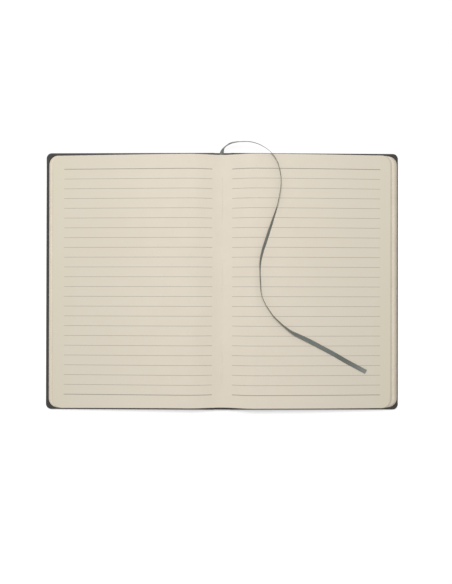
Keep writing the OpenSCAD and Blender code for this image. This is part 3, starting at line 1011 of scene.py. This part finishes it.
def pleatDip(x, y):
    # Depth of the gathers at a point of the turn-in; none along its straight edges
    dx = x - coverReach + book["coverCorner"]
    dy = abs(y) - caseHeight / 2 + book["coverCorner"]
    if min(dx, dy) < 0.001:
        return 0.0
    wave = 0.5 - 0.5 * math.cos(4 * case["pleats"] * math.atan2(dy, dx))
    inward = book["coverCorner"] - math.hypot(dx, dy)
    return case["pleat"] * wave * smooth(inward / case["pleatFade"])


def casePoint(x, y, level, fromTop):
    if fromTop:
        return (x, y, caseBase(x) + turnHeight(x) + level - pleatDip(x, y))
    return (x, y, caseBase(x) + grooveRise(x) + level)


def mirroredX(points, sign):
    return [(sign * x, y, z) for x, y, z in points]


def bendOverHinge(piece, side):
    near = side["sign"] * (hingeX - case["bendHalf"])
    far = side["sign"] * (hingeX + case["bendHalf"])
    near * mm
    hingeZ * mm
    far * mm
    hingeZ * mm
    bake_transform(piece)


# Columns close together over the groove, and wider ones over the board
caseWidth = coverReach - book["coverCorner"] - case["seamX"]
caseColumns = sorted({0.0, 1.0}
                     | {case["fineStep"] * (k + 1) / caseWidth for k in range(case["fineColumns"])}
                     | {mix(case["evenFrom"], 1.0, k / case["columns"])
                        for k in range(1, case["columns"])})
caseRows = [1 - 2 * k / case["rows"] for k in range(case["rows"] + 1)]


def makeCoverSkin(name, side, node):
    patch = Patch()
    under, over, flat = caseProfile()
    args = (case["seamX"], coverReach, caseHeight, book["coverCorner"])
    rings = []
    for group, fromTop in ((under, False), (over, True), (flat, True)):
        for inset, level in group:
            plan = planOutline(*args, inset, caseColumns, caseRows)
            rings.append(mirroredX([casePoint(x, y, level, fromTop) for x, y in plan], side["sign"]))
    patch.loft(rings)
    grid = planGrid(*args, case["edgeRadius"], caseColumns, caseRows)
    patch.loft([mirroredX([casePoint(x, y, 0, False) for x, y in column], side["sign"])
                for column in grid])
    bendOverHinge(makePiece(name, patch, [caseCovering], None, node, 40), side)


def makeSpineSkin():
    patch = Patch()
    under, over, flat = caseProfile()
    edge = [(inset, level, False) for inset, level in under]
    edge += [(inset, level, True) for inset, level in over + flat]
    rows = []
    for k in range(case["spineColumns"] + 1):
        x = case["seamX"] * (2 * k / case["spineColumns"] - 1)
        line = [casePoint(abs(x), caseHeight / 2 - inset, level, fromTop)
                for inset, level, fromTop in reversed(edge)]
        middle = [casePoint(abs(x), (caseHeight / 2 - case["edgeRadius"]) * v, 0, False)
                  for v in caseRows[1:-1]]
        tail = [(px, -py, pz) for px, py, pz in reversed(line)]
        rows.append([(x, py, pz) for _, py, pz in line + middle + tail])
    patch.loft(rows)
    makePiece("spineSkin", patch, [caseCovering], "book_block", "spine_covering", 40)


makeCoverSkin("frontCoverSkin", frontSide, "front_covering")
makeCoverSkin("backCoverSkin", backSide, "back_covering")
makeSpineSkin()


print("stage: pastedowns")
paste = {
    "columns": 40,
    "rows": 48,
    "fineColumn": 0.004,   # shares of its width: steps of the close columns over the groove, and
    "lapColumn": 0.885,    # where more of them start over the turn-in's edge
    "fineRow": 0.005,      # shares of half its height: the same for the rows there
    "lapRow": 0.855,
    "stepWidth": 1.4,      # how softly the turn-in's edge shows through the paper
    "tuck": 0.7,           # how far it runs past the hinge on the spine's side
    "spineRise": 0.55,     # how far it rises there out of the groove
    "wall": 1.2,           # width of its slope from the groove up to the board
    "hingeWall": 2.0,      # and of the one over the hinge
}


def pasteHeight(x, y):
    # Height of the pastedown's lower face
    windowX = coverReach - book["skin"] - book["turnIn"]
    windowY = caseHeight / 2 - book["skin"] - book["turnIn"]
    lapped = max(smooth((x - windowX) / paste["stepWidth"] + 0.5),
                 smooth((abs(y) - windowY) / paste["stepWidth"] + 0.5))
    onBoard = boardTop + book["skin"] * lapped
    inGroove = book["grooveDepth"] + book["skin"] * (1 + lapped)
    onSpine = inGroove + paste["spineRise"]
    t = mix(inGroove, onBoard, smooth((x - boardStart + paste["wall"]) / paste["wall"]))
    t = mix(onSpine, t, smooth((x - hingeX) / paste["hingeWall"] + 0.5))
    return caseBase(x) + t


# Columns and rows close together over the groove and where the turn-in's edge shows
pasteColumns = sorted({k / paste["columns"] for k in range(paste["columns"] + 1)}
                      | {paste["fineColumn"] * k for k in range(12)}
                      | {paste["lapColumn"] + paste["fineColumn"] * k for k in range(10)})
pasteRows = sorted({1 - 2 * k / paste["rows"] for k in range(paste["rows"] + 1)}
                   | {end * (paste["lapRow"] + paste["fineRow"] * k)
                      for end in (-1, 1) for k in range(12)}, reverse=True)


def makePastedown(name, side, node):
    patch = Patch()
    args = (hingeX - paste["tuck"], coverReach - book["pasteInset"],
            caseHeight - 2 * book["pasteInset"], book["leafCorner"])
    sign = side["sign"]
    for level in (0.0, book["endpaper"]):
        grid = planGrid(*args, 0, pasteColumns, pasteRows)
        patch.loft([[(sign * x, y, pasteHeight(x, y) + level) for x, y in column] for column in grid])
    rim = planOutline(*args, 0, pasteColumns, pasteRows)
    patch.loft([[(sign * x, y, pasteHeight(x, y) + level) for x, y in rim]
                for level in (0.0, book["endpaper"])], closed=True)
    bendOverHinge(makePiece(name, patch, [endPaper], None, node, 40), side)


makePastedown("frontPastedown", frontSide, "front_pastedown")
makePastedown("backPastedown", backSide, "back_pastedown")


print("stage: finishes on the frame's own nodes")
nodeFinishes = {    # those that no piece replaces
    "front_free_endpaper": endPaper,
    "back_free_endpaper": endPaper,
    "spine_gauze": gauzeCotton,
    "spine_lining_paper": liningKraft,
    "spine_strip": greyBoard,
    "front_board": greyBoard,
    "back_board": greyBoard,
}
for node, finish in nodeFinishes.items():
    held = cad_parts[node]
    held.data.materials.clear()
    held.data.materials.append(finish.material)
